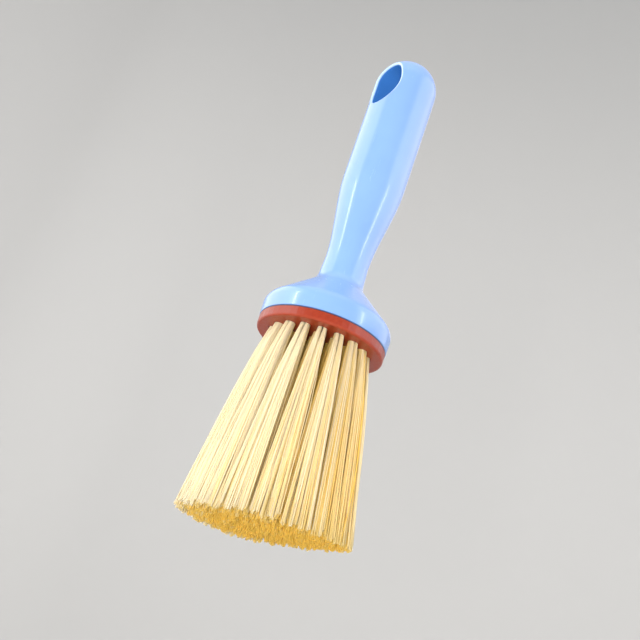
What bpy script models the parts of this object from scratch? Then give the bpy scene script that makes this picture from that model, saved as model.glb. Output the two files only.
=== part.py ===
"""Short handle brush.

A turned plastic handle flares into a round head. A drilled bristle block snaps into the head, and
thirty-seven tufts of filament stand in its blind holes. The holes lean outwards, so the tufts fan.
The brush stands on its trimmed tips: z is zero there, and the axis of the brush is the Z axis.
"""
from math import acos, cos, pi, sin, sqrt, tan

import bmesh
import bpy
import numpy as np
from mathutils import Matrix, Vector

# Lengths are in metres.

# Fits shared by several pieces
SEAT_GAP = 0.0003           # air left where two pieces touch
CUT_OVERRUN = 0.004         # how far a cutter runs past what it cuts

# Bristle block
FREE_LENGTH = 0.0895        # block's face to the trimmed tips
BLOCK_RADIUS = 0.0303       # at its face
BLOCK_TOP_RADIUS = 0.0304   # at the parting line
BLOCK_WALL = 0.0046         # the band that shows below the head
BLOCK_EDGE_ROUND = 0.0011   # lower edge
SPIGOT_RADIUS = 0.0266      # the part of the block inside the head
SPIGOT_HEIGHT = 0.0064
SPIGOT_CHAMFER = 0.0008
BEAD_HEIGHT = 0.0030        # middle of the snap bead above the parting line
BEAD_REACH = 0.0005         # how far the bead stands out of the spigot
BEAD_HALF_WIDTH = 0.0011

# Tufts
HOLE_RADIUS = 0.0025
HOLE_DEPTH = 0.0080
RING_RADIUS_INNER = 0.0079
RING_RADIUS_MIDDLE = 0.0152
RING_RADIUS_OUTER = 0.0225
RING_COUNT_INNER = 6
RING_COUNT_MIDDLE = 12
RING_COUNT_OUTER = 18
TIP_CIRCLE_RADIUS = 0.0344  # where the outer ring's tuft centres reach the tips
ROOT_RECESS = 0.0004        # root's end below the block's face
LOBE_OFFSET = 0.0011        # a folded tuft has two lobes, side by side
LOBE_RADIUS = 0.0007        # circle of a lobe's strands at the root
LOBE_STRANDS = 5
STRAND_ROOT_RADIUS = 0.00034
STRAND_TIP_RADIUS = 0.00075
TUFT_TIP_WIDTH = 0.0047     # a tuft's centre to its outermost strands at the tips, along its ring
TUFT_TIP_DEPTH = 0.0042     # the same, across its ring
TIP_WANDER = 0.0003         # how far a strand's tip strays from the pattern
STRAND_ROOT_OVERLAP = 0.0012
TRIM_DEPTH = 0.0005         # the longest strands are cut flat by this much
TIP_JAG = 0.0022            # spread of the strands' lengths before that cut

# Handle
HEAD_BASE_RADIUS = 0.0306   # at the parting line
HEAD_RADIUS = 0.0312        # widest
HEAD_EDGE_ROUND = 0.0006
SKIRT_HEIGHT = 0.0088       # parting line to where the skirt would meet the cone
SHOULDER_ROUND = 0.0045
CONE_TOP_RADIUS = 0.0114    # where the cone would meet the neck
CONE_TOP_HEIGHT = 0.0269
CORNER_ROUND = 0.0030
NECK_RADIUS = 0.01075       # narrowest
NECK_HEIGHT = 0.0388
GRIP_RADIUS = 0.01585       # where the grip is full
GRIP_HEIGHT = 0.0880
DOME_RADIUS = 0.0163
DOME_HEIGHT = 0.1462        # parting line to the dome's centre
SOCKET_CHAMFER = 0.0006

# Hanging eye, an oval bore along X
EYE_HALF_WIDTH = 0.0086     # at mid-height
EYE_HALF_HEIGHT = 0.0136
EYE_DROP = 0.0051           # eye's centre below the dome's centre
EYE_CHAMFER = 0.0010        # depth of the broken edge at each mouth

# Counts
TURN_STEPS = 56
ARC_STEPS = 3
DOME_STEPS = 9
SWELL_STEPS = 8
GRIP_STEPS = 4
EYE_STEPS = 48
HOLE_STEPS = 12
ROOT_STEPS = 8
STRAND_SIDES = 3
GAP_SECTIONS = 9
TIP_SEED = 7

# Where along a strand its rings lie, and how a tuft opens along it
STRAND_STATION_SHARES = (0.36, 1.0)
OPENING_POWER = 0.75

# How much fuller the eye is above its middle than at it
EYE_FULLNESS_SHARE = 0.09

MERGE_DISTANCE = 0.00002

FACE_Z = FREE_LENGTH
PARTING_Z = FACE_Z + BLOCK_WALL
HEAD_Z = PARTING_Z + SEAT_GAP
SPIGOT_TOP_Z = PARTING_Z + SPIGOT_HEIGHT


def clear_scene():
    for item in list(bpy.data.objects):
        bpy.data.objects.remove(item, do_unlink=True)


def new_collection(name):
    collection = bpy.data.collections.new(name)
    bpy.context.scene.collection.children.link(collection)
    return collection


def plastic(name, colour, roughness):
    material = bpy.data.materials.new(name)
    material.use_nodes = True
    shader = material.node_tree.nodes["Principled BSDF"]
    shader.inputs["Base Color"].default_value = (*colour, 1)
    shader.inputs["Roughness"].default_value = roughness
    shader.inputs["Metallic"].default_value = 0
    material.diffuse_color = (*colour, 1)
    return material


def new_object(name, mesh, collection, material=None):
    item = bpy.data.objects.new(name, mesh)
    collection.objects.link(item)
    if material is not None:
        mesh.materials.append(material)
    return item


def as_cutter(item):
    item.hide_render = True
    item.display_type = "WIRE"
    return item


def mesh_from(name, bm):
    """Turns a bmesh into a mesh with its faces pointing outwards."""
    bmesh.ops.recalc_face_normals(bm, faces=bm.faces)
    mesh = bpy.data.meshes.new(name)
    bm.to_mesh(mesh)
    bm.free()
    return mesh


def rounded(before, corner, after, radius):
    """Points of the arc that rounds a corner of an outline, from one tangent point to the other."""
    corner = Vector(corner)
    back = (Vector(before) - corner).normalized()
    ahead = (Vector(after) - corner).normalized()
    half = acos(back.dot(ahead)) / 2
    centre = corner + (back + ahead).normalized() * (radius / sin(half))
    start = corner + back * (radius / tan(half)) - centre
    end = corner + ahead * (radius / tan(half)) - centre
    turn = start.angle_signed(end)
    points = []
    for step in range(ARC_STEPS + 1):
        spun = start.copy()
        spun.rotate(Matrix.Rotation(-turn * step / ARC_STEPS, 2))
        points.append(tuple(centre + spun))
    return points


def turned(name, outline, collection, material=None):
    """A solid of revolution. The outline runs from the axis, down the outer side, back to the axis."""
    bm = bmesh.new()
    corners = [bm.verts.new((radius, 0, height)) for radius, height in outline]
    for first, second in zip(corners, corners[1:]):
        bm.edges.new((first, second))
    mesh = bpy.data.meshes.new(name)
    bm.to_mesh(mesh)
    bm.free()
    item = new_object(name, mesh, collection, material)
    screw = item.modifiers.new("turn", "SCREW")
    screw.axis = "Z"
    screw.steps = TURN_STEPS
    screw.render_steps = TURN_STEPS
    screw.use_merge_vertices = True
    screw.merge_threshold = MERGE_DISTANCE
    screw.use_smooth_shade = True
    return item


def cut(item, cutter):
    boolean = item.modifiers.new("cut " + cutter.name, "BOOLEAN")
    boolean.operation = "DIFFERENCE"
    boolean.solver = "EXACT"
    boolean.object = cutter


def bead_outline(reach, half_width, wall_radius):
    """The snap bead's three corners on a wall, upwards: foot, crest and head."""
    middle = PARTING_Z + BEAD_HEIGHT
    return [
        (wall_radius, middle - half_width),
        (wall_radius + reach, middle),
        (wall_radius, middle + half_width),
    ]


def block_outline():
    """The block: a spigot with a snap bead above a wider band whose lower edge is rounded."""
    bead = bead_outline(BEAD_REACH, BEAD_HALF_WIDTH, SPIGOT_RADIUS)
    edge = rounded((BLOCK_TOP_RADIUS, PARTING_Z), (BLOCK_RADIUS, FACE_Z), (0, FACE_Z), BLOCK_EDGE_ROUND)
    return [
        (0, SPIGOT_TOP_Z),
        (SPIGOT_RADIUS - SPIGOT_CHAMFER, SPIGOT_TOP_Z),
        (SPIGOT_RADIUS, SPIGOT_TOP_Z - SPIGOT_CHAMFER),
        *reversed(bead),
        (SPIGOT_RADIUS, PARTING_Z),
        (BLOCK_TOP_RADIUS, PARTING_Z),
        *edge,
        (0, FACE_Z),
    ]


def tuft_places():
    """Name and place of every tuft at the block's face: a centre tuft and three rings round it."""
    places = [("tuft_centre", 0.0, 0.0)]
    rings = (
        ("inner", RING_RADIUS_INNER, RING_COUNT_INNER),
        ("middle", RING_RADIUS_MIDDLE, RING_COUNT_MIDDLE),
        ("outer", RING_RADIUS_OUTER, RING_COUNT_OUTER),
    )
    for ring, radius, count in rings:
        for index in range(count):
            angle = 2 * pi * (index + 0.5) / count
            places.append((f"tuft_{ring}_{index + 1:02d}", radius, angle))
    return places


def tuft_frame(radius, angle):
    """Matrix at a tuft's hole: X along its ring, Y outwards across it, Z up its leaning axis."""
    lean = radius * (TIP_CIRCLE_RADIUS / RING_RADIUS_OUTER - 1) / FREE_LENGTH
    outwards = Vector((cos(angle), sin(angle), 0))
    up = (Vector((0, 0, 1)) - outwards * lean).normalized()
    along = Vector((-sin(angle), cos(angle), 0))
    across = up.cross(along)
    turn = Matrix((along, across, up)).transposed().to_4x4()
    return Matrix.Translation(outwards * radius + Vector((0, 0, FACE_Z))) @ turn


def add_cylinder(bm, matrix, radius, bottom, top, segments):
    bmesh.ops.create_cone(
        bm,
        cap_ends=True,
        segments=segments,
        radius1=radius,
        radius2=radius,
        depth=top - bottom,
        matrix=matrix @ Matrix.Translation((0, 0, (top + bottom) / 2)),
    )


def hole_cutter(places, collection):
    bm = bmesh.new()
    for name, radius, angle in places:
        frame = tuft_frame(radius, angle)
        add_cylinder(bm, frame, HOLE_RADIUS, -CUT_OVERRUN, HOLE_DEPTH, HOLE_STEPS)
    return as_cutter(new_object("tuft_hole_cutter", mesh_from("tuft_hole_cutter", bm), collection))


def make_block(places, collection, cutters, material):
    block = turned("bristle_block", block_outline(), collection, material)
    cut(block, hole_cutter(places, cutters))
    return block


def strand_offsets():
    """Places of a tuft's strands at its root: two lobes side by side, each a ring of strands.

    Each ring has one strand on its inner side, where the tuft is narrowest at the tips.
    """
    offsets = []
    for side in (-1, 1):
        for index in range(LOBE_STRANDS):
            angle = 2 * pi * index / LOBE_STRANDS - pi / 2
            offsets.append((side * LOBE_OFFSET + LOBE_RADIUS * cos(angle), LOBE_RADIUS * sin(angle)))
    return offsets


def strands_of_a_tuft(generator):
    """Every strand's place at the root, how far its tip strays, and its free length.

    The ends are ragged, and the longest strands are cut flat where the brush stands.
    """
    strands = []
    for offset in strand_offsets():
        stray = (generator.random(2) * 2 - 1) * TIP_WANDER
        length = FREE_LENGTH + TRIM_DEPTH - TIP_JAG * generator.random() ** 2
        strands.append((offset, stray.tolist(), min(length, FREE_LENGTH)))
    return strands


def strand_section(radius, angle, offset, stray, depth):
    """Centre and radius of a strand's section at a depth below the block's face.

    The tuft's centre moves outwards in proportion to the depth. The strand's place in the tuft is
    stretched along and across the ring, quickly near the root and slowly near the tips, and a tuft
    is wider on its outer side, as a slice of the round bundle is.
    """
    share = depth / FREE_LENGTH
    opening = max(share, 0) ** OPENING_POWER
    reach_along = LOBE_OFFSET + LOBE_RADIUS
    carried = radius * (1 + share * (TIP_CIRCLE_RADIUS / RING_RADIUS_OUTER - 1))
    across = offset[1] * (1 + opening * (TUFT_TIP_DEPTH / LOBE_RADIUS - 1)) + opening * stray[1]
    along = offset[0] * (1 + opening * (TUFT_TIP_WIDTH / reach_along - 1)) + opening * stray[0]
    if radius > 0:
        along *= 1 + across / carried
    width = STRAND_ROOT_RADIUS + opening * (STRAND_TIP_RADIUS - STRAND_ROOT_RADIUS)
    outwards = carried + across
    x = outwards * cos(angle) - along * sin(angle)
    y = outwards * sin(angle) + along * cos(angle)
    return (x, y, FACE_Z - depth), width


def ring_points(centre, width, angle):
    points = []
    for side in range(STRAND_SIDES):
        turn = angle + 2 * pi * side / STRAND_SIDES
        points.append(Vector(centre) + width * Vector((cos(turn), sin(turn), 0)))
    return points


def add_strand(bm, radius, angle, strand):
    """One strand: a small level polygon drawn downwards from inside the root to the tip."""
    offset, stray, length = strand
    centre, width = strand_section(radius, angle, offset, stray, -ROOT_RECESS - STRAND_ROOT_OVERLAP)
    face = bm.faces.new([bm.verts.new(point) for point in ring_points(centre, width, angle)])
    inner_faces = []
    for share in STRAND_STATION_SHARES:
        centre, width = strand_section(radius, angle, offset, stray, length * share)
        drawn = bmesh.ops.extrude_face_region(bm, geom=[face])["geom"]
        face = next(item for item in drawn if isinstance(item, bmesh.types.BMFace))
        inner_faces.append(face)
        for corner, point in zip(face.verts, ring_points(centre, width, angle)):
            corner.co = point
    bmesh.ops.delete(bm, geom=inner_faces[:-1], context="FACES_ONLY")


def make_tuft(place, strands, collection, cutters, material):
    """A folded tuft: its bound root fills the hole, and its strands leave it in two lobes."""
    name, radius, angle = place
    bundle = bmesh.new()
    for strand in strands:
        add_strand(bundle, radius, angle, strand)
    bundle_item = as_cutter(new_object(name + "_strands", mesh_from(name + "_strands", bundle), cutters))
    root = bmesh.new()
    root_top = HOLE_DEPTH - SEAT_GAP
    add_cylinder(root, tuft_frame(radius, angle), HOLE_RADIUS - SEAT_GAP, ROOT_RECESS, root_top, ROOT_STEPS)
    tuft = new_object(name, mesh_from(name, root), collection, material)
    union = tuft.modifiers.new("strands", "BOOLEAN")
    union.operation = "UNION"
    union.solver = "EXACT"
    union.object = bundle_item
    return tuft


def least_strand_gap(places, tufts):
    """Least air between any two strands, taken at level sections all the way down."""
    least = FREE_LENGTH
    for share in np.linspace(0, 1, GAP_SECTIONS):
        sections = []
        for (name, radius, angle), strands in zip(places, tufts):
            for offset, stray, length in strands:
                centre, width = strand_section(radius, angle, offset, stray, FREE_LENGTH * share)
                sections.append((centre[0], centre[1], width))
        table = np.array(sections)
        apart = np.hypot(*(table[:, None, :2] - table[None, :, :2]).transpose(2, 0, 1))
        air = apart - table[:, None, 2] - table[None, :, 2]
        np.fill_diagonal(air, FREE_LENGTH)
        least = min(least, air.min())
    return least


def swell(start, end, share):
    """A smooth step from one radius to another, level at both ends."""
    return start + (end - start) * share * share * (3 - 2 * share)


def dome_outline():
    """The rounded end, from the axis down to the grip."""
    points = []
    for step in range(DOME_STEPS):
        angle = pi / 2 * step / DOME_STEPS
        points.append((DOME_RADIUS * sin(angle), HEAD_Z + DOME_HEIGHT + DOME_RADIUS * cos(angle)))
    return points


def grip_outline():
    """The grip, downwards: nearly straight, then an S-shaped swell into the neck."""
    points = []
    for step in range(GRIP_STEPS):
        share = step / GRIP_STEPS
        height = DOME_HEIGHT + (GRIP_HEIGHT - DOME_HEIGHT) * share
        points.append((DOME_RADIUS + (GRIP_RADIUS - DOME_RADIUS) * share, HEAD_Z + height))
    for step in range(SWELL_STEPS + 1):
        share = step / SWELL_STEPS
        height = GRIP_HEIGHT + (NECK_HEIGHT - GRIP_HEIGHT) * share
        points.append((swell(GRIP_RADIUS, NECK_RADIUS, share), HEAD_Z + height))
    return points


def head_outline():
    """The head, downwards: corner, cone, rounded shoulder and skirt."""
    neck = (NECK_RADIUS, HEAD_Z + NECK_HEIGHT)
    cone_top = (CONE_TOP_RADIUS, HEAD_Z + CONE_TOP_HEIGHT)
    shoulder = (HEAD_RADIUS, HEAD_Z + SKIRT_HEIGHT)
    base = (HEAD_BASE_RADIUS, HEAD_Z)
    inside = (SPIGOT_RADIUS, HEAD_Z)
    return [
        *rounded(neck, cone_top, shoulder, CORNER_ROUND),
        *rounded(cone_top, shoulder, base, SHOULDER_ROUND),
        *rounded(shoulder, base, inside, HEAD_EDGE_ROUND),
    ]


def socket_outline():
    """The socket for the block's spigot, upwards, with the groove that its bead snaps into."""
    wall = SPIGOT_RADIUS + SEAT_GAP
    ceiling = SPIGOT_TOP_Z + SEAT_GAP
    groove = bead_outline(BEAD_REACH, BEAD_HALF_WIDTH + SEAT_GAP, wall)
    return [
        (wall + SOCKET_CHAMFER, HEAD_Z),
        (wall, HEAD_Z + SOCKET_CHAMFER),
        *groove,
        (wall, ceiling),
        (0, ceiling),
    ]


def outside_depth(across, height):
    """Distance of the grip's or dome's outside from the middle plane, at a place seen along the bore."""
    above_dome_centre = height - HEAD_Z - DOME_HEIGHT
    taper = (DOME_RADIUS - GRIP_RADIUS) / (DOME_HEIGHT - GRIP_HEIGHT)
    radius = DOME_RADIUS + taper * min(above_dome_centre, 0)
    return sqrt(radius**2 - max(above_dome_centre, 0) ** 2 - across**2)


def eye_ring(side, flare):
    """A ring of the eye's cutter: the bore's edge below the chamfer, or that far out from it at 45 degrees."""
    points = []
    for step in range(EYE_STEPS):
        turn = 2 * pi * step / EYE_STEPS
        across = EYE_HALF_WIDTH * (1 + EYE_FULLNESS_SHARE * sin(turn)) * cos(turn)
        height = HEAD_Z + DOME_HEIGHT - EYE_DROP + EYE_HALF_HEIGHT * sin(turn)
        depth = outside_depth(across, height) - EYE_CHAMFER
        outwards = Vector((0, cos(turn) / EYE_HALF_WIDTH, sin(turn) / EYE_HALF_HEIGHT)).normalized()
        points.append(Vector((side * (depth + flare), across, height)) + outwards * flare)
    return points


def eye_cutter(collection):
    """The shape of the hanging eye: an oval bore along X, lofted on into a flare at each mouth."""
    bm = bmesh.new()
    rings = []
    for side, flare in ((1, CUT_OVERRUN), (1, 0), (-1, 0), (-1, CUT_OVERRUN)):
        rings.append([bm.verts.new(point) for point in eye_ring(side, flare)])
    for ring, following in zip(rings, rings[1:]):
        for step in range(EYE_STEPS):
            bm.faces.new((ring[step - 1], ring[step], following[step], following[step - 1]))
    ends = [bm.faces.new(rings[0]), bm.faces.new(rings[-1])]
    bmesh.ops.poke(bm, faces=ends)
    return as_cutter(new_object("eye_cutter", mesh_from("eye_cutter", bm), collection))


def make_handle(collection, cutters, material):
    outline = [*dome_outline(), *grip_outline(), *head_outline(), *socket_outline()]
    handle = turned("handle_moulding", outline, collection, material)
    cut(handle, eye_cutter(cutters))
    return handle


def main():
    clear_scene()
    parts = new_collection("short_handle_brush")
    cutters = new_collection("cutters")
    blue = plastic("blue_polypropylene", (0.36, 0.61, 1.0), 0.22)
    terracotta = plastic("terracotta_polypropylene", (0.48, 0.058, 0.021), 0.5)
    straw = plastic("straw_filament", (0.93, 0.75, 0.40), 0.45)
    places = tuft_places()
    make_handle(parts, cutters, blue)
    make_block(places, parts, cutters, terracotta)
    generator = np.random.default_rng(TIP_SEED)
    tufts = [strands_of_a_tuft(generator) for place in places]
    for place, strands in zip(places, tufts):
        make_tuft(place, strands, parts, cutters, straw)
    print("strands", sum(len(strands) for strands in tufts))
    print("least air between strands, m", least_strand_gap(places, tufts))


main()
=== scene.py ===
# %% [markdown]
# # A short handle brush
#
# The brush is a glossy blue handle with a hanging eye, a terracotta block that snaps into its head, and
# thirty-seven tufts of straw-coloured filament that fan out of the block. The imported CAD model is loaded
# first and stays where it is: each piece below is made in the same frame, in metres, and rides on it. The
# brush stands on its tips at z = 0, and the Z axis is the axis of the handle.

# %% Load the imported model
from math import cos, pi, radians, sin

import bmesh
import bpy
import numpy as np
from mathutils import Matrix, Vector


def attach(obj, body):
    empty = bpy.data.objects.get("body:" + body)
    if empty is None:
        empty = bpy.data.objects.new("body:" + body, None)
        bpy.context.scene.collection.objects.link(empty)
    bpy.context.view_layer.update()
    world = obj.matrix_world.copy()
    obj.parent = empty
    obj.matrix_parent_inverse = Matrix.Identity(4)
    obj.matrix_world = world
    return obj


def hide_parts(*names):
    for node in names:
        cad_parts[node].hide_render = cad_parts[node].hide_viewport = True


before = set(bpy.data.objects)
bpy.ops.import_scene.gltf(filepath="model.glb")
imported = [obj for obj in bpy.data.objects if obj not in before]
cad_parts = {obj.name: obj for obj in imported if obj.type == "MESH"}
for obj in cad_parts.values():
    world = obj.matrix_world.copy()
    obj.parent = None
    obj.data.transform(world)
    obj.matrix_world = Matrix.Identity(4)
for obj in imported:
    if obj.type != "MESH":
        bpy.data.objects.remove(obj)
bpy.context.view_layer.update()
MM = 0.001

# %% [markdown]
# ## The camera
#
# The photograph was taken from close by, so it has strong perspective: the tips look wider than the head.
# One camera was fitted to the ellipse of the parting line, the outline of the handle and the rim of the
# eye. The fit gives the direction of the brush's axis and the centre of the parting line as the camera
# sees them, with x to the right, y down and z away from the lens. It measures by the radius of the
# parting line. The eye's mouth then says how far the brush is turned about its own axis.

# %% Place the camera by the fit
PARTING_HEIGHT = 94.1 * MM
PARTING_RADIUS = 31 * MM
AXIS_SEEN = Vector((0.30211, -0.87548, 0.37718)).normalized()
PARTING_SEEN = Vector((0.02349, 0.26215, 12.22379)) * PARTING_RADIUS
CAMERA_AZIMUTH = radians(-37.7)
FOCAL_LENGTH = 46.11


def camera_pose():
    """Turns what the camera sees into where it stands.

    The axis, the level direction from the axis to the camera and the level direction to its right make
    three columns in the camera's own terms. Undoing that turn gives the camera's place in the frame.
    """
    towards = (AXIS_SEEN * AXIS_SEEN.dot(PARTING_SEEN) - PARTING_SEEN).normalized()
    rightwards = AXIS_SEEN.cross(towards)
    x_seen = rightwards * cos(CAMERA_AZIMUTH) + towards * sin(CAMERA_AZIMUTH)
    y_seen = rightwards * sin(CAMERA_AZIMUTH) - towards * cos(CAMERA_AZIMUTH)
    to_frame = Matrix((x_seen, y_seen, AXIS_SEEN))
    place = to_frame @ (AXIS_SEEN * PARTING_HEIGHT - PARTING_SEEN)
    y_and_z_flipped = Matrix.Diagonal((1, -1, -1))
    return Matrix.Translation(place) @ (to_frame @ y_and_z_flipped).to_4x4()


camera = bpy.data.objects.new("camera", bpy.data.cameras.new("camera"))
camera.data.lens = FOCAL_LENGTH
camera.data.clip_start = 10 * MM
camera.matrix_world = camera_pose()
bpy.context.scene.collection.objects.link(camera)
bpy.context.scene.camera = camera
print("camera at, mm:", [round(value / MM, 1) for value in camera.location])

# %% [markdown]
# ## Helpers
#
# Every new surface is a grid of points that numpy works out at once, and one function turns such arrays
# into a mesh. Colours are written as the hex values that a colour picker shows, and one function turns
# them into the linear values that the shaders want. One more function adds a node with its settings.

# %% Mesh, colour and node helpers
def linear(hex_colour):
    """Each channel c over 255, then the sRGB curve undone: c/12.92 where c is 0.04045 or less, and
    ((c + 0.055)/1.055)^2.4 above that."""
    channels = np.array([int(hex_colour[place:place + 2], 16) for place in (1, 3, 5)]) / 255
    curved = ((channels + 0.055) / 1.055) ** 2.4
    return (*np.where(channels <= 0.04045, channels / 12.92, curved).tolist(), 1)


def add_node(tree, kind, settings, inputs):
    """Adds a node, sets its own settings, then fills its inputs with values or other nodes' outputs."""
    node = tree.nodes.new("ShaderNode" + kind)
    for name, value in settings.items():
        setattr(node, name, value)
    for name, value in inputs.items():
        if isinstance(value, bpy.types.NodeSocket):
            tree.links.new(value, node.inputs[name])
        else:
            node.inputs[name].default_value = value
    return node


def new_material(name):
    """A material whose node tree is still empty."""
    material = bpy.data.materials.new(name)
    material.use_nodes = True
    material.node_tree.nodes.clear()
    return material


def mesh_piece(name, points, quads, material):
    """A mesh object from an array of points and an array of four-cornered faces, shaded smooth."""
    mesh = bpy.data.meshes.new(name)
    mesh.vertices.add(len(points))
    mesh.vertices.foreach_set("co", points.astype(np.float32).ravel())
    mesh.loops.add(quads.size)
    mesh.loops.foreach_set("vertex_index", quads.astype(np.int32).ravel())
    mesh.polygons.add(len(quads))
    mesh.polygons.foreach_set("loop_start", np.arange(0, quads.size, 4, dtype=np.int32))
    mesh.polygons.foreach_set("use_smooth", np.ones(len(quads), dtype=bool))
    mesh.update(calc_edges=True)
    mesh.materials.append(material)
    piece = bpy.data.objects.new(name, mesh)
    bpy.context.scene.collection.objects.link(piece)
    return piece


def add_layer(piece, name, domain, values):
    """A named number on every point or face, for the material to read."""
    layer = piece.data.attributes.new(name, "FLOAT", domain)
    layer.data.foreach_set("value", np.asarray(values, dtype=np.float32).ravel())


def grid_quads(rows, columns, first=0):
    """Faces of a grid whose columns close into a ring: each face joins a point, the next point in its row
    and the two points below them."""
    here = np.arange(rows * columns).reshape(rows, columns)
    ahead = np.roll(here, -1, axis=1)
    return first + np.stack((here[:-1], ahead[:-1], ahead[1:], here[1:]), axis=-1).reshape(-1, 4)


print("a grey of #808080 in linear terms:", round(linear("#808080")[0], 3))

# %% [markdown]
# ## The stage
#
# The camera of the photograph is lower than the tips, so a floor at the tips would hide them. The brush
# therefore floats well above a pale floor that turns up into a wall all round, as a cove does in a
# studio. It is made as a profile carried round the axis, and a pinhole in the middle of the floor lets
# every face keep its four corners.

# %% Make the cove
FLOOR_DROP = 1.1
COVE_RADIUS = 1.5
COVE_ROUND = 0.6
COVE_HEIGHT = 2.4
COVE_STEPS = 96
PINHOLE = 1 * MM


def cove_profile(steps=16):
    """Radius and height: level floor, a quarter circle up, then the wall."""
    turn = np.linspace(0, pi / 2, steps)
    radius = COVE_RADIUS - COVE_ROUND + COVE_ROUND * np.sin(turn)
    height = -FLOOR_DROP + COVE_ROUND - COVE_ROUND * np.cos(turn)
    radius = np.concatenate(([PINHOLE], radius, [COVE_RADIUS]))
    height = np.concatenate(([-FLOOR_DROP], height, [COVE_HEIGHT]))
    return np.stack((radius, height), axis=-1)


def carried_round(profile, angles):
    """Each profile point (r, h) at each angle a becomes (r cos a, r sin a, h)."""
    radius, height = profile[:, None, 0], profile[:, None, 1]
    height = np.broadcast_to(height, (len(profile), len(angles)))
    return np.stack((radius * np.cos(angles), radius * np.sin(angles), height), axis=-1)


painted_board = new_material("painted_board")
tree = painted_board.node_tree
shader = add_node(tree, "BsdfPrincipled", {}, {"Base Color": linear("#C0BFBD"), "Roughness": 0.9})
add_node(tree, "OutputMaterial", {}, {"Surface": shader.outputs[0]})

cove_points = carried_round(cove_profile(), np.linspace(0, 2 * pi, COVE_STEPS, endpoint=False))
cove_quads = grid_quads(*cove_points.shape[:2])
cove = mesh_piece("studio_cove", cove_points.reshape(-1, 3), cove_quads, painted_board)
print("cove faces:", len(cove.data.polygons))

# %% [markdown]
# ## The lights
#
# A glossy handle shows its lights as long bands, so they are placed by their reflections. The soft box on
# the left begins 61 degrees round from the camera. On the right a sheet, which only the gloss shows,
# begins 45 degrees round, and a dimmer one behind it carries its band on to the edge. The camera looks up
# at the handle, so all three reach well above it. A low, narrow strip on each side shows only where the
# handle swells, as a thin bright line.
#
# The matt surfaces get their light from fills that the gloss doesn't show. The one behind the camera
# lights the gaps between the filaments as deep as the camera sees into them. Three more stand on the
# right, beyond the brush and overhead, and some sky comes in over the wall of the cove.

# %% Place the lights
def soft_box(name, place, size, power, colour="#FFFFFF", tilt=0, seen_in="both"):
    """An area light that faces the brush's axis. Its place is so many degrees round from the camera, so
    far from the axis and so high. It can tilt down by so many degrees, and it can be seen in the gloss
    alone, or by matt surfaces alone."""
    degrees, distance, height = place
    azimuth = CAMERA_AZIMUTH + radians(degrees)
    outwards = Vector((sin(azimuth), -cos(azimuth), 0))
    lamp = bpy.data.lights.new(name, "AREA")
    lamp.shape = "RECTANGLE"
    lamp.size, lamp.size_y = size
    lamp.energy = power
    lamp.color = linear(colour)[:3]
    box = bpy.data.objects.new(name, lamp)
    facing = outwards * cos(radians(tilt)) + Vector((0, 0, sin(radians(tilt))))
    turned = facing.to_track_quat("Z", "Y").to_matrix().to_4x4()
    box.matrix_world = Matrix.Translation(outwards * distance + Vector((0, 0, height))) @ turned
    box.visible_camera = False
    box.visible_glossy = seen_in != "matt"
    box.visible_diffuse = seen_in != "gloss"
    box.visible_transmission = seen_in != "gloss"
    bpy.context.scene.collection.objects.link(box)


COOL_WHITE = "#F7F4FF"
soft_box("left_box", (-102, 0.95, 0.55), (1.66, 1.6), 14.8)
soft_box("left_strip", (-65, 0.9, 0.33), (0.05, 0.46), 1.3)
soft_box("right_box", (86, 0.95, 0.56), (1.65, 0.64), 4, COOL_WHITE, seen_in="matt")
soft_box("right_sheet", (86, 0.9, 0.97), (1.58, 1.26), 12, COOL_WHITE, seen_in="gloss")
soft_box("rim_sheet", (150, 0.9, 1.05), (0.76, 1.1), 1.2, COOL_WHITE, seen_in="gloss")
soft_box("right_strip", (54, 0.9, 0.33), (0.05, 0.46), 0.9)
soft_box("front_fill", (-8, 1.1, -0.3), (0.45, 0.45), 17.6, seen_in="matt")
soft_box("back_fill", (150, 1.1, 0.3), (0.9, 0.8), 12, seen_in="matt")
soft_box("top_fill", (-10, 0.5, 1.4), (0.9, 0.9), 9, tilt=68, seen_in="matt")

world = bpy.data.worlds.new("studio_air")
world.use_nodes = True
world.node_tree.nodes["Background"].inputs["Color"].default_value = linear("#F2F5F8")
world.node_tree.nodes["Background"].inputs["Strength"].default_value = 1.0
bpy.context.scene.world = world
bpy.context.scene.view_settings.view_transform = "Standard"

# %% [markdown]
# ## Glossy moulded polypropylene
#
# The handle is polypropylene with a pale blue masterbatch, moulded in a polished tool. To the eye that
# is an even colour under a clear gloss, with a faint orange peel of a millimetre or two and fine scuffs
# along the grip from hands and hooks. The deeper blue inside the eye is painted shade, and the paler
# blue on the eye's rolled edge is a painted highlight. Dirt has settled in the joint with the block. The
# refractive index of polypropylene is 1.49.

# %% Mix the handle's material
HEAD_HEIGHT = 94.4 * MM


def per_mm(size):
    """Scale of a noise whose cells are that many millimetres wide."""
    return 1000 / size


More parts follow.
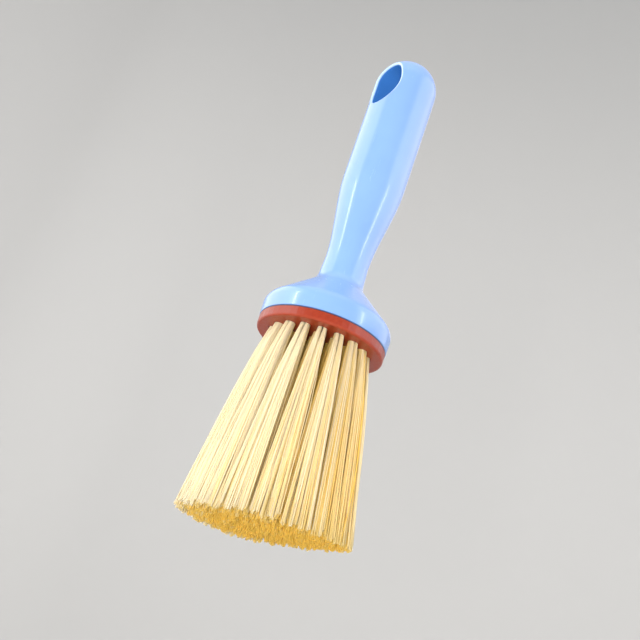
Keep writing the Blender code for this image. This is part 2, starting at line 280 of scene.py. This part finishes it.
def glossy_polypropylene():
    """Colour from a slow cloud, with painted shade deeper inside the eye, a painted highlight paler on its
    rolled edge and dark at the joint, and roughness from scuffs drawn out along the grip."""
    material = new_material("glossy_moulded_polypropylene_pale_blue")
    tree = material.node_tree
    where = add_node(tree, "TexCoord", {}, {}).outputs["Object"]
    cloud = add_node(tree, "TexNoise", {}, {"Vector": where, "Scale": per_mm(35), "Detail": 3})
    tint = add_node(tree, "ValToRGB", {}, {"Fac": cloud.outputs["Fac"]})
    tint.color_ramp.elements[0].position = 0.3
    tint.color_ramp.elements[0].color = linear("#7194CC")
    tint.color_ramp.elements[1].position = 0.7
    tint.color_ramp.elements[1].color = linear("#779AD2")
    # Painted shade: inside the eye the colour is mixed to a deeper blue.
    in_bore = add_node(tree, "Attribute", {"attribute_name": "in_bore"}, {}).outputs["Fac"]
    painted_bore_shade = add_node(tree, "Mix", {"data_type": "RGBA"}, {
        0: in_bore, 6: tint.outputs[0], 7: linear("#3972B4")})
    # Painted highlight: the eye's rolled edge is mixed to a paler blue.
    on_roll = add_node(tree, "Attribute", {"attribute_name": "on_roll"}, {}).outputs["Fac"]
    paler_edge = add_node(tree, "Mix", {"data_type": "RGBA"}, {
        0: on_roll, 6: painted_bore_shade.outputs[2], 7: linear("#A9C4E6")})
    height = add_node(tree, "SeparateXYZ", {}, {0: where}).outputs["Z"]
    near_joint = add_node(tree, "MapRange", {}, {
        "Value": height, "From Min": HEAD_HEIGHT + 0.4 * MM, "From Max": HEAD_HEIGHT + 0.1 * MM,
        "To Max": 0.5})
    colour = add_node(tree, "Mix", {"data_type": "RGBA"}, {
        0: near_joint.outputs[0], 6: paler_edge.outputs[2], 7: linear("#25242B")})
    drawn_out = add_node(tree, "Mapping", {}, {"Vector": where, "Scale": (1, 1, 0.06)})
    scuffs = add_node(tree, "TexNoise", {}, {
        "Vector": drawn_out.outputs[0], "Scale": per_mm(1.6), "Detail": 6, "Roughness": 0.7})
    rough = add_node(tree, "MapRange", {}, {
        "Value": scuffs.outputs["Fac"], "From Min": 0.35, "From Max": 0.75, "To Min": 0.19, "To Max": 0.3})
    peel = add_node(tree, "TexNoise", {}, {"Vector": where, "Scale": per_mm(2.2), "Detail": 1})
    bump = add_node(tree, "Bump", {}, {
        "Height": peel.outputs["Fac"], "Strength": 0.12, "Distance": 0.05 * MM})
    shader = add_node(tree, "BsdfPrincipled", {}, {
        "Base Color": colour.outputs[2], "Roughness": rough.outputs[0], "Normal": bump.outputs[0],
        "IOR": 1.49, "Coat Weight": 0.3, "Coat Roughness": 0.08})
    add_node(tree, "OutputMaterial", {}, {"Surface": shader.outputs[0]})
    return material


pale_blue = glossy_polypropylene()
print(pale_blue.name, "has", len(pale_blue.node_tree.nodes), "nodes")

# %% [markdown]
# ## The handle's outline
#
# Below the eye the handle is a turned shape, so its outline says it all: the grip, an S-shaped swell
# into the neck, the flaring cone, a rounded shoulder, the skirt, and the socket that the block snaps
# into, with a groove for its bead. Corners are rounded by an arc between two tangent points.

# %% Outline of the handle
DOME_RADIUS = 16.3 * MM
DOME_HEIGHT = HEAD_HEIGHT + 146.2 * MM
GRIP_RADIUS = 15.85 * MM
GRIP_HEIGHT = HEAD_HEIGHT + 88.0 * MM
GRIP_SLOPE = (DOME_RADIUS - GRIP_RADIUS) / (DOME_HEIGHT - GRIP_HEIGHT)
EYE_HALF_WIDTH = 8.6 * MM
EYE_HALF_HEIGHT = 13.6 * MM
EYE_HEIGHT = 235.5 * MM
JOIN_HEIGHT = EYE_HEIGHT - EYE_HALF_HEIGHT - 5 * MM
NECK_RADIUS = 10.75 * MM
NECK_HEIGHT = HEAD_HEIGHT + 38.8 * MM
NECK_ROUND = 9 * MM
CONE_TOP = (11.4 * MM, HEAD_HEIGHT + 26.9 * MM)
SHOULDER = (31.2 * MM, HEAD_HEIGHT + 8.8 * MM)
SHOULDER_ROUND = 6.5 * MM
RIM = (30.6 * MM, HEAD_HEIGHT)
RIM_ROUND = 0.6 * MM
SOCKET_RADIUS = 26.9 * MM
SOCKET_CEILING = HEAD_HEIGHT + 6.4 * MM
MOUTH_CHAMFER = 0.6 * MM
GROOVE_HEIGHT = HEAD_HEIGHT + 2.7 * MM
GROOVE_HALF_WIDTH = 1.4 * MM
GROOVE_DEPTH = 0.5 * MM


def grip_radius(height):
    """The grip tapers by a straight line, and the dome above it is a half circle."""
    taper = GRIP_RADIUS + GRIP_SLOPE * (height - GRIP_HEIGHT)
    above = np.maximum(height - DOME_HEIGHT, 0)
    return np.where(height > DOME_HEIGHT, np.sqrt(np.maximum(DOME_RADIUS**2 - above**2, 0)), taper)


def rounded(before, corner, after, radius, steps=8):
    """Points on the arc of that radius that touches both legs of a corner."""
    before, corner, after = (np.array(point) for point in (before, corner, after))
    back = (before - corner) / np.linalg.norm(before - corner)
    ahead = (after - corner) / np.linalg.norm(after - corner)
    half = np.arccos(back @ ahead) / 2
    middle = (back + ahead) / np.linalg.norm(back + ahead)
    centre = corner + middle * radius / np.sin(half)
    spread = (pi / 2 - half) * np.linspace(-1, 1, steps + 1)
    sideways = np.array((-middle[1], middle[0]))
    sideways *= np.sign(sideways @ ahead)
    return centre - radius * (np.outer(np.cos(spread), middle) - np.outer(np.sin(spread), sideways))


def handle_outline():
    """Radius and height from the join under the eye down to the middle of the socket's ceiling. The swell
    goes from grip to neck as s^2 (3 - 2s), where s is the share of the way down."""
    straight = np.linspace(JOIN_HEIGHT, GRIP_HEIGHT, 12)[:-1]
    share = np.linspace(0, 1, 32)
    s_curve = share * share * (3 - 2 * share)
    swell = np.stack((
        GRIP_RADIUS + (NECK_RADIUS - GRIP_RADIUS) * s_curve,
        GRIP_HEIGHT + (NECK_HEIGHT - GRIP_HEIGHT) * share), axis=-1)
    return np.concatenate((
        np.stack((grip_radius(straight), straight), axis=-1),
        swell,
        rounded(swell[-1], CONE_TOP, SHOULDER, NECK_ROUND),
        rounded(CONE_TOP, SHOULDER, RIM, SHOULDER_ROUND),
        rounded(SHOULDER, RIM, (SOCKET_RADIUS, HEAD_HEIGHT), RIM_ROUND),
        [(SOCKET_RADIUS + MOUTH_CHAMFER, HEAD_HEIGHT),
         (SOCKET_RADIUS, HEAD_HEIGHT + MOUTH_CHAMFER),
         (SOCKET_RADIUS, GROOVE_HEIGHT - GROOVE_HALF_WIDTH),
         (SOCKET_RADIUS + GROOVE_DEPTH, GROOVE_HEIGHT),
         (SOCKET_RADIUS, GROOVE_HEIGHT + GROOVE_HALF_WIDTH),
         (SOCKET_RADIUS, SOCKET_CEILING),
         (0, SOCKET_CEILING)]))


outline = handle_outline()
print("outline points:", len(outline), "widest, mm:", round(outline[:, 0].max() / MM, 2))

# %% [markdown]
# ## The hanging eye
#
# The eye is an oval bore through the dome, a little fuller above its middle, and its edge is rolled by a
# radius of a millimetre. A ball that rolls along the edge inside the plastic touches the outside in one
# point and the bore in another, and the arc between them is the roll. Rows of points then run from the
# middle of the bore out to its mouth, over the roll, and on across the dome to its outline, where the
# two sides of the handle meet. Towards the outline the rows crowd together as a sine does, so the
# surface stays round.

# %% Shape of the eye and dome
EYE_FULLNESS = 0.09
EDGE_ROLL = 1.0 * MM
RING_STEPS = 64
DOME_STEPS = 104
BORE_ROWS = 6
ROLL_ROWS = 9
FIELD_ROWS = 26


def side_outline():
    """Across and height of the handle seen along the bore: half the ring under the eye, then up one
    flank, round the dome and down the other."""
    sweep = np.linspace(-pi / 2, pi / 2, RING_STEPS + 1)[:-1]
    ring = np.stack((np.sin(sweep) * grip_radius(JOIN_HEIGHT), np.full(RING_STEPS, JOIN_HEIGHT)), axis=-1)
    flank = DOME_HEIGHT - JOIN_HEIGHT
    whole = 2 * flank + pi * DOME_RADIUS
    along = np.linspace(0, whole, DOME_STEPS + 1)[:-1]
    turn = np.clip((along - flank) / DOME_RADIUS, 0, pi)
    rise = np.where(along < flank, along, np.where(turn < pi, flank, whole - along))
    on_flank = (turn == 0) | (turn == pi)
    height = JOIN_HEIGHT + np.where(on_flank, rise, flank + DOME_RADIUS * np.sin(turn))
    on_side = grip_radius(height) * np.where(turn == 0, 1, -1)
    across = np.where(on_flank, on_side, DOME_RADIUS * np.cos(turn))
    return np.concatenate((ring, np.stack((across, height), axis=-1)))


def surface_depth(across, height):
    """Distance from the middle plane to the handle's outside: the root of r(h)^2 - across^2."""
    return np.sqrt(np.maximum(grip_radius(height) ** 2 - across**2, 0))


def eye_oval(turn):
    """The oval seen along the bore, an ellipse whose width grows by a share of the sine of the angle,
    and its outward direction, taken from the plain ellipse."""
    width = EYE_HALF_WIDTH * (1 + EYE_FULLNESS * np.sin(turn))
    oval = np.stack((width * np.cos(turn), EYE_HEIGHT + EYE_HALF_HEIGHT * np.sin(turn)), axis=-1)
    outwards = np.stack((np.cos(turn) / EYE_HALF_WIDTH, np.sin(turn) / EYE_HALF_HEIGHT), axis=-1)
    return oval, outwards / np.linalg.norm(outwards, axis=1, keepdims=True)


def rolled_edge(oval, outwards):
    """Where the ball's centre runs, and its directions to the bore's wall and to the handle's outside."""
    ball = oval + EDGE_ROLL * outwards
    zero = np.zeros(len(ball))
    above = np.maximum(ball[:, 1] - DOME_HEIGHT, 0)
    in_dome = np.sqrt((DOME_RADIUS - EDGE_ROLL) ** 2 - above**2)
    inner = np.where(above > 0, in_dome, grip_radius(ball[:, 1]) - EDGE_ROLL)
    centre = np.stack((np.sqrt(inner**2 - ball[:, 0]**2), ball[:, 0], ball[:, 1]), axis=-1)
    middle = np.stack((zero, zero, np.minimum(ball[:, 1], DOME_HEIGHT)), axis=-1)
    skin = (centre - middle) / np.linalg.norm(centre - middle, axis=1, keepdims=True)
    wall = -np.stack((zero, outwards[:, 0], outwards[:, 1]), axis=-1)
    return centre, wall, skin


def eye_side():
    """Rows of points from the middle of the bore to the handle's outline, for the side towards +X. On the
    roll, the direction from the ball's centre swings evenly from the wall's to the outside's."""
    edge = side_outline()
    towards = edge - (0, EYE_HEIGHT)
    turn = np.arctan2(towards[:, 1] / EYE_HALF_HEIGHT, towards[:, 0] / EYE_HALF_WIDTH)
    oval, outwards = eye_oval(turn)
    centre, wall, skin = rolled_edge(oval, outwards)
    rows = []
    for share in np.linspace(0, 1, BORE_ROWS + 1)[:-1]:
        rows.append(np.stack((centre[:, 0] * share, oval[:, 0], oval[:, 1]), axis=-1))
    between = np.arccos(np.sum(wall * skin, axis=1))[:, None]
    for share in np.linspace(0, 1, ROLL_ROWS):
        mix = (np.sin((1 - share) * between) * wall + np.sin(share * between) * skin) / np.sin(between)
        rows.append(centre + EDGE_ROLL * mix)
    start = rows[-1][:, 1:]
    for share in np.sin(np.linspace(0, pi / 2, FIELD_ROWS + 1))[1:]:
        spot = start + (edge - start) * share
        rows.append(np.stack((surface_depth(spot[:, 0], spot[:, 1]), spot[:, 0], spot[:, 1]), axis=-1))
    rows[-1][RING_STEPS:, 0] = 0
    return np.array(rows)


side = eye_side()
no_field = np.zeros(FIELD_ROWS)
# in_bore marks the rows inside the eye that get painted shade, and on_roll marks the rows of the rolled
# edge that get a painted highlight.
in_bore = np.concatenate((np.ones(BORE_ROWS), np.linspace(1, -2, ROLL_ROWS).clip(0), no_field))
on_roll = np.concatenate((np.zeros(BORE_ROWS), np.sin(np.linspace(0, pi, ROLL_ROWS)), no_field))
print("eye rows and columns:", side.shape[:2])

# %% [markdown]
# ## The handle as one skin
#
# The side with the eye is mirrored for the other mouth, and the turned part is carried round the axis
# at the same angles as the ring under the eye, so that the three grids share their edge points. Merging
# those leaves one closed skin, as the moulding is.

# %% Make the handle
def handle_moulding(material):
    """Both eye sides and the turned part, merged where they meet."""
    sweep = np.linspace(-pi / 2, pi / 2, RING_STEPS + 1)
    angles = np.concatenate((sweep[:-1], sweep[:-1] + pi))
    turned = carried_round(outline, angles)
    grids = (side, side * (-1, 1, 1), turned)
    points = np.concatenate([grid.reshape(-1, 3) for grid in grids])
    starts = np.cumsum([0] + [grid.shape[0] * grid.shape[1] for grid in grids])
    quads = np.concatenate([grid_quads(*grid.shape[:2], first) for grid, first in zip(grids, starts)])
    piece = mesh_piece("handle_moulded", points, quads, material)
    for name, by_row in (("in_bore", in_bore), ("on_roll", on_roll)):
        one_side = np.repeat(by_row, side.shape[1])
        add_layer(piece, name, "POINT", np.concatenate((one_side, one_side, np.zeros(turned.size // 3))))
    bm = bmesh.new()
    bm.from_mesh(piece.data)
    bmesh.ops.remove_doubles(bm, verts=bm.verts, dist=0.002 * MM)
    bmesh.ops.recalc_face_normals(bm, faces=bm.faces)
    print("open edges of the handle:", sum(not edge.is_manifold for edge in bm.edges))
    bm.to_mesh(piece.data)
    bm.free()
    piece.data.set_sharp_from_angle(angle=radians(40))
    return piece


handle = handle_moulding(pale_blue)
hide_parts("handle_moulding")
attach(handle, "root")
print("handle faces:", len(handle.data.polygons))

# %% [markdown]
# ## Satin moulded polypropylene
#
# The block is the same plastic in terracotta, from a tool with a spark-eroded finish, so it is satin
# with a fine grain that sparkles where the light grazes it. Its lower edge is rubbed a little paler, and
# its joint with the handle is dirty. The CAD block already has the right shape, with its thirty-seven
# leaning holes, so it stays.

# %% Dress the block
BLOCK_FACE_HEIGHT = 89.5 * MM


def satin_polypropylene():
    """Colour from a fine mottle, a paler rubbed edge and a dark joint, with bump from the tool's grain."""
    material = new_material("satin_moulded_polypropylene_terracotta")
    tree = material.node_tree
    where = add_node(tree, "TexCoord", {}, {}).outputs["Object"]
    mottle = add_node(tree, "TexNoise", {}, {
        "Vector": where, "Scale": per_mm(1.1), "Detail": 5, "Roughness": 0.65})
    tint = add_node(tree, "ValToRGB", {}, {"Fac": mottle.outputs["Fac"]})
    tint.color_ramp.elements[0].position = 0.32
    tint.color_ramp.elements[0].color = linear("#80240A")
    tint.color_ramp.elements[1].position = 0.68
    tint.color_ramp.elements[1].color = linear("#8E2D10")
    height = add_node(tree, "SeparateXYZ", {}, {0: where}).outputs["Z"]
    near_edge = add_node(tree, "MapRange", {"interpolation_type": "SMOOTHSTEP"}, {
        "Value": height, "From Min": BLOCK_FACE_HEIGHT + 1.6 * MM, "From Max": BLOCK_FACE_HEIGHT + 0.5 * MM,
        "To Max": 0.25})
    paler_edge = add_node(tree, "Mix", {"data_type": "RGBA"}, {
        0: near_edge.outputs[0], 6: tint.outputs[0], 7: linear("#AC4E34")})
    near_joint = add_node(tree, "MapRange", {}, {
        "Value": height, "From Min": PARTING_HEIGHT - 0.4 * MM, "From Max": PARTING_HEIGHT - 0.1 * MM,
        "To Max": 0.5})
    colour = add_node(tree, "Mix", {"data_type": "RGBA"}, {
        0: near_joint.outputs[0], 6: paler_edge.outputs[2], 7: linear("#2A1512")})
    grain = add_node(tree, "TexNoise", {}, {"Vector": where, "Scale": per_mm(0.45), "Detail": 3})
    rough = add_node(tree, "MapRange", {}, {
        "Value": mottle.outputs["Fac"], "From Min": 0.3, "From Max": 0.7, "To Min": 0.3, "To Max": 0.46})
    bump = add_node(tree, "Bump", {}, {
        "Height": grain.outputs["Fac"], "Strength": 0.8, "Distance": 0.08 * MM})
    shader = add_node(tree, "BsdfPrincipled", {}, {
        "Base Color": colour.outputs[2], "Roughness": rough.outputs[0], "Normal": bump.outputs[0],
        "IOR": 1.49})
    add_node(tree, "OutputMaterial", {}, {"Surface": shader.outputs[0]})
    return material


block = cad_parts["bristle_block"]
block.data.materials.clear()
block.data.materials.append(satin_polypropylene())
print("block faces:", len(block.data.polygons))

# %% [markdown]
# ## Drawn filament
#
# Each filament is synthetic, drawn through a die, then stretched, and it is straw yellow all through.
# The draw leaves a soft sheen along its length, and more than half of the light that it scatters comes
# out on its far side. Light that has gone from filament to filament deep in the bundle comes back golden,
# and the inner rings are toned deeper as painted shade for that. Each filament carries its own tone, and
# the cut ends are golden.

# %% Mix the filament's material
def drawn_filament():
    """Colour from each filament's tone, golden at 0 and pale at 1, and golden on its cut end."""
    material = new_material("drawn_filament_straw")
    tree = material.node_tree
    tone = add_node(tree, "Attribute", {"attribute_name": "tone"}, {}).outputs["Fac"]
    tint = add_node(tree, "ValToRGB", {}, {"Fac": tone})
    tint.color_ramp.elements[0].position = 0.0
    tint.color_ramp.elements[0].color = linear("#FFDE68")
    tint.color_ramp.elements[1].position = 1.0
    tint.color_ramp.elements[1].color = linear("#FFF6DC")
    straw = tint.color_ramp.elements.new(0.55)
    straw.color = linear("#FCE79A")
    cut_end = add_node(tree, "Attribute", {"attribute_name": "cut_end"}, {}).outputs["Fac"]
    colour = add_node(tree, "Mix", {"data_type": "RGBA"}, {
        0: cut_end, 6: tint.outputs[0], 7: linear("#F9DF84")})
    shader = add_node(tree, "BsdfPrincipled", {}, {
        "Base Color": colour.outputs[2], "Roughness": 0.42, "IOR": 1.5})
    passing = add_node(tree, "BsdfTranslucent", {}, {"Color": colour.outputs[2]})
    mixed = add_node(tree, "MixShader", {}, {0: 0.6, 1: shader.outputs[0], 2: passing.outputs[0]})
    add_node(tree, "OutputMaterial", {}, {"Surface": mixed.outputs[0]})
    return material


filament = drawn_filament()
print(filament.name, "has", len(filament.node_tree.nodes), "nodes")

# %% [markdown]
# ## The tufts
#
# A tuft is a bunch of filaments folded in two and punched into its hole, so it comes out as two lobes
# side by side. Each lobe starts as a small oval and spreads into its half of the tuft's share of the
# round tip: a sector of its ring. Every filament keeps its place in the pattern all the way, so they
# spread with hardly a crossing, and neighbours cling together in clumps of uneven size.
#
# The rings below give a radius at the block and a number of tufts, the bounds are the rings' inner and
# outer radius at the tips in millimetres, and the fan is how much further out the outer ring is there.

# %% Pattern of a tuft
FREE_LENGTH = BLOCK_FACE_HEIGHT
RINGS = {"centre": (0, 1), "inner": (7.9 * MM, 6), "middle": (15.2 * MM, 12), "outer": (22.5 * MM, 18)}
TIP_BOUNDS = {"centre": (0, 6.2), "inner": (5.6, 17.6), "middle": (16.8, 29.0), "outer": (27.8, 38.6)}
FAN = 34.4 / 22.5
SECTOR_FILL = 0.96
LOBE_COLUMNS, LOBE_ROWS = 14, 15
PLACE_STRAY = 0.42
CLUMPS = 3
CLUMP_STRAY = 0.4
draw = np.random.default_rng(3)


def disc_from_square(across, along):
    """A square's points pulled into a disc: x sqrt(1 - y^2/2) and y sqrt(1 - x^2/2)."""
    return across * np.sqrt(1 - along**2 / 2), along * np.sqrt(1 - across**2 / 2)


def strewn(columns, rows, stray):
    """For both lobes, points of a grid over a square from -1 to 1, each strayed by up to that share of
    a cell."""
    cells = np.stack(np.meshgrid(np.arange(columns), np.arange(rows), indexing="ij"), axis=-1)
    cells = cells.reshape(-1, 2)
    cells = np.stack((cells, cells)) + draw.uniform(-stray, stray, (2, len(cells), 2))
    return np.clip((cells + 0.5) / (columns, rows) * 2 - 1, -1, 1)


def pattern():
    """Each filament's lobe, -1 or 1, its place in the lobe as two numbers from -1 to 1, its clump's
    middle in the same numbers, and its clump's index. Its clump is the one whose middle is nearest."""
    place = strewn(LOBE_COLUMNS, LOBE_ROWS, PLACE_STRAY)
    middles = strewn(CLUMPS, CLUMPS, CLUMP_STRAY)
    apart = np.sum((place[:, :, None] - middles[:, None]) ** 2, axis=-1)
    index = np.argmin(apart, axis=-1) + [[0], [CLUMPS**2]]
    lobe = np.repeat((-1, 1), place.shape[1])
    return lobe, place.reshape(-1, 2), middles.reshape(-1, 2)[index.ravel()], index.ravel()


def tip_places(ring, radius, count, lobe, place):
    """Where places in a lobe reach the tips, across and out from the tuft's middle: a half sector of its
    ring in which equal steps of the second number take equal areas."""
    near, far = (bound * MM for bound in TIP_BOUNDS[ring])
    reach = np.sqrt(near**2 + (far**2 - near**2) * (place[:, 1] + 1) / 2)
    half_sector = (lobe + place[:, 0]) / 2
    if radius == 0:
        x, y = disc_from_square(half_sector, place[:, 1])
        return x * far, y * far
    swing = half_sector * pi / count * SECTOR_FILL
    return reach * np.sin(swing), reach * np.cos(swing) - radius * FAN


print("filaments in a tuft:", 2 * LOBE_COLUMNS * LOBE_ROWS)

# %% [markdown]
# In use the bristles have taken a set: towards their tips they lean a few millimetres to one side, and
# they are worn shorter on that side, so the trim runs up from z = 0. The bundle bows outwards a little,
# and one filament in eighty bows much more. Within a clump the middle filament is the longest, which
# leaves small points along the rim.

# %% Set and trim of the bristles
SET_DIRECTION = np.array((cos(CAMERA_AZIMUTH), sin(CAMERA_AZIMUTH)))
SET_SHIFT = 3.0 * MM
SET_SPREAD = 0.022
SET_POWER = 1.3
TIP_RADIUS = 39 * MM
TRIM_MIDDLE = 1.2 * MM
TRIM_SLOPE = 3.0 * MM
TRIM_STEEPENING = 1.6 * MM
TRIM_NEAR_SIDE = 1.3 * MM
TRIM_TWIST = 2.6 * MM
CLUMP_STEP = 2.0 * MM
CLUMP_POINT = 0.9 * MM
TIP_JAG = 0.4 * MM


def trim_rise(x, y):
    """Height of the worn trim: a slope along the set that steepens ahead, and a rise on the near side,
    which ahead of the middle goes over to the far side."""
    along = (x * SET_DIRECTION[0] + y * SET_DIRECTION[1]) / TIP_RADIUS
    aside = (x * SET_DIRECTION[1] - y * SET_DIRECTION[0]) / TIP_RADIUS
    ahead = np.maximum(along, 0)
    near = np.maximum(aside, 0)
    rise = TRIM_MIDDLE + TRIM_SLOPE * along + TRIM_STEEPENING * ahead**2
    return np.maximum(rise + TRIM_NEAR_SIDE * near - TRIM_TWIST * aside * ahead, 0)


def filament_lengths(tip, place, clump_middle, clump):
    """Free length up to the worn trim, less each clump's own step, the clump's point, which falls away as
    the squared distance from its middle, and each filament's jag."""
    from_middle = np.minimum(np.sum(((place - clump_middle) * CLUMPS) ** 2, axis=1), 2)
    step = CLUMP_STEP * draw.random(2 * CLUMPS**2)[clump]
    jag = TIP_JAG * draw.random(len(place))
    return FREE_LENGTH - trim_rise(*tip) - (step + CLUMP_POINT * from_middle + jag)


print("trim over the middle, mm:", round(trim_rise(0, 0) / MM, 2))

# %% [markdown]
# A filament's path starts in the hole and runs down from its place in the lobe to its place at the tips.
# The stations along it lie closer together than the bends need, so the bow looks smooth.

# %% Paths of a tuft's filaments
HOLE_REACH = 6.5 * MM
JUST_IN_HOLE = 0.5 * MM
STATIONS = 8
LOBE_OFFSET = 1.15 * MM
LOBE_HALF_WIDTH = 0.95 * MM
LOBE_HALF_LENGTH = 1.75 * MM
CLING = 0.45
SWAY = 0.42 * MM
STRAY_ACROSS = 0.3 * MM
STRAY_OUT = 0.25 * MM
BOW = 0.3 * MM
MUCH_BOWED = 0.012
MUCH_MORE = 6
OPENING_POWER = 0.86


def tuft_paths(ring, radius, angle, count):
    """Centres of every filament at every station, as (filament, station, xyz), the share of the free
    length there, and each filament's place.

    Down the free length the tuft's middle moves outwards. Around it, a filament goes from its place in
    the lobe to its place in the ring's sector. Both go as the share to the power 0.86, which bows the
    bundle outwards a little. The lean goes as the share to the power 1.3.
    """
    lobe, place, clump_middle, clump = pattern()
    root_x, root_y = disc_from_square(place[:, 0], place[:, 1])
    root_x = lobe * LOBE_OFFSET + root_x * LOBE_HALF_WIDTH
    root_y = root_y * LOBE_HALF_LENGTH
    tip_x, tip_y = tip_places(ring, radius, count, lobe, place + CLING * (clump_middle - place))
    tip_x += draw.normal(0, SWAY) + draw.normal(0, SWAY, 2)[(lobe + 1) // 2]
    tip_x += draw.normal(0, STRAY_ACROSS, len(lobe))
    tip_y += draw.normal(0, STRAY_OUT, len(lobe))
    bow = draw.normal(0, BOW, (len(lobe), 2))
    bow *= np.where(draw.random(len(lobe)) < MUCH_BOWED, MUCH_MORE, 1)[:, None]
    out = radius * FAN + tip_y
    tip = out * cos(angle) - tip_x * sin(angle), out * sin(angle) + tip_x * cos(angle)
    length = filament_lengths(tip, place, clump_middle, clump)
    share = np.linspace(0, 1, STATIONS)[1:]
    in_hole = np.broadcast_to((-HOLE_REACH, -JUST_IN_HOLE), (len(lobe), 2))
    down = np.concatenate((in_hole, length[:, None] * share), axis=1)
    part = down / FREE_LENGTH
    opening = np.where(part > 0, np.maximum(part, 0) ** OPENING_POWER, part)
    belly = np.sin(pi * np.clip(part, 0, 1))
    x = root_x[:, None] + (tip_x - root_x)[:, None] * opening + bow[:, :1] * belly
    y = root_y[:, None] + (tip_y - root_y)[:, None] * opening + bow[:, 1:] * belly
    outwards = radius * (1 + (FAN - 1) * opening) + y
    level = np.stack((
        outwards * cos(angle) - x * sin(angle), outwards * sin(angle) + x * cos(angle)), axis=-1)
    lean = (SET_SHIFT + SET_SPREAD * (level @ SET_DIRECTION)) * np.maximum(part, 0) ** SET_POWER
    level += lean[..., None] * SET_DIRECTION
    paths = np.concatenate((level, (FREE_LENGTH - down)[..., None]), axis=-1)
    return paths, np.clip(part, 0, 1), place


print("points on a filament's path:", STATIONS + 1)

# %% [markdown]
# A filament is a tube of four sides round its path, closed by a face at each end. All the tubes of a
# tuft are worked out together and become one piece, which stands for that tuft of the CAD model. Real
# filament for such a brush is 0.3 to 0.5 mm across. Here it is 0.28 mm from corner to corner in the hole
# and widens to 0.54 mm at the tips, which is as coarse as it needs to be to show.

# %% Make the tufts
SIDES = 4
ROOT_HALF_WIDTH = 0.14 * MM
TIP_WIDENING = 0.13 * MM
# Painted shade: the ring tones make the inner rings deeper golden, and OUTER_SIDE_PALER makes each tuft's
# inner side deeper.
RING_TONES = {"centre": 0, "inner": 0, "middle": 0.15, "outer": 0.62}
OUTER_SIDE_PALER = 0.3
# Painted shade: the tone is deeper on the side the bristles are set towards.
SHADED_SIDE_DEEPER = 0.28
TONE_STRAY = 0.15
# Painted light: filaments are toned paler near the root.
ROOT_PALER = 0.25
# Painted shade: filaments are toned deeper near the tips on the tuft's inner side.
INNER_TIP_DEEPER = 0.5


def tubes(paths, width):
    """Level squares round every path point, at that half width."""
    turn = 2 * pi * (np.arange(SIDES) + 0.5) / SIDES
    ring = np.stack((np.cos(turn), np.sin(turn), np.zeros(SIDES)), axis=-1)
    return paths[:, :, None, :] + width[:, :, None, None] * ring


def tube_quads(filaments, stations):
    """Side faces between neighbouring rings, then one face over each end ring, for every filament."""
    one = np.arange(stations * SIDES).reshape(stations, SIDES)
    ahead = np.roll(one, -1, axis=1)
    sides = np.stack((one[1:], ahead[1:], ahead[:-1], one[:-1]), axis=-1).reshape(-1, 4)
    ends = np.stack((one[0], one[-1][::-1]))
    faces = np.concatenate((sides, ends))
    return (faces[None] + (np.arange(filaments) * stations * SIDES)[:, None, None]).reshape(-1, 4)


def filament_tones(ring, paths, part, place):
    """The ring's tone, deeper for the inner rings, deeper towards the inner side of the tuft and deeper on
    the side the bristles are set towards, all as painted shade, and strayed for each filament. It is paler
    near the root as painted light, and deeper near the tips on the tuft's inner side as painted shade."""
    shaded_side = paths[:, -1, :2] @ SET_DIRECTION / TIP_RADIUS
    tone = RING_TONES[ring] + OUTER_SIDE_PALER * place[:, 1] - SHADED_SIDE_DEEPER * shaded_side
    tone = (tone + draw.normal(0, TONE_STRAY, len(place)))[:, None] + ROOT_PALER * (1 - part) ** 2
    return np.clip(tone - INNER_TIP_DEEPER * (1 - place[:, 1:]).clip(0, 1) * part**8, 0, 1)


def make_tuft(name, ring, angle, material):
    """One tuft of filaments in place of its CAD node."""
    radius, count = RINGS[ring]
    paths, part, place = tuft_paths(ring, radius, angle, count)
    corners = tubes(paths, ROOT_HALF_WIDTH + TIP_WIDENING * part)
    filaments, stations = corners.shape[:2]
    quads = tube_quads(filaments, stations)
    piece = mesh_piece(name + "_filaments", corners.reshape(-1, 3), quads, material)
    add_layer(piece, "tone", "POINT", np.repeat(filament_tones(ring, paths, part, place), SIDES))
    cut_end = np.zeros((filaments, (stations - 1) * SIDES + 2))
    cut_end[:, -1] = 1
    add_layer(piece, "cut_end", "FACE", cut_end)
    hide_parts(name)
    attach(piece, "root")
    return filaments


total = make_tuft("tuft_centre", "centre", 0, filament)
for ring in ("inner", "middle", "outer"):
    count = RINGS[ring][1]
    for index in range(count):
        total += make_tuft(f"tuft_{ring}_{index + 1:02d}", ring, 2 * pi * (index + 0.5) / count, filament)
print("filaments:", total)
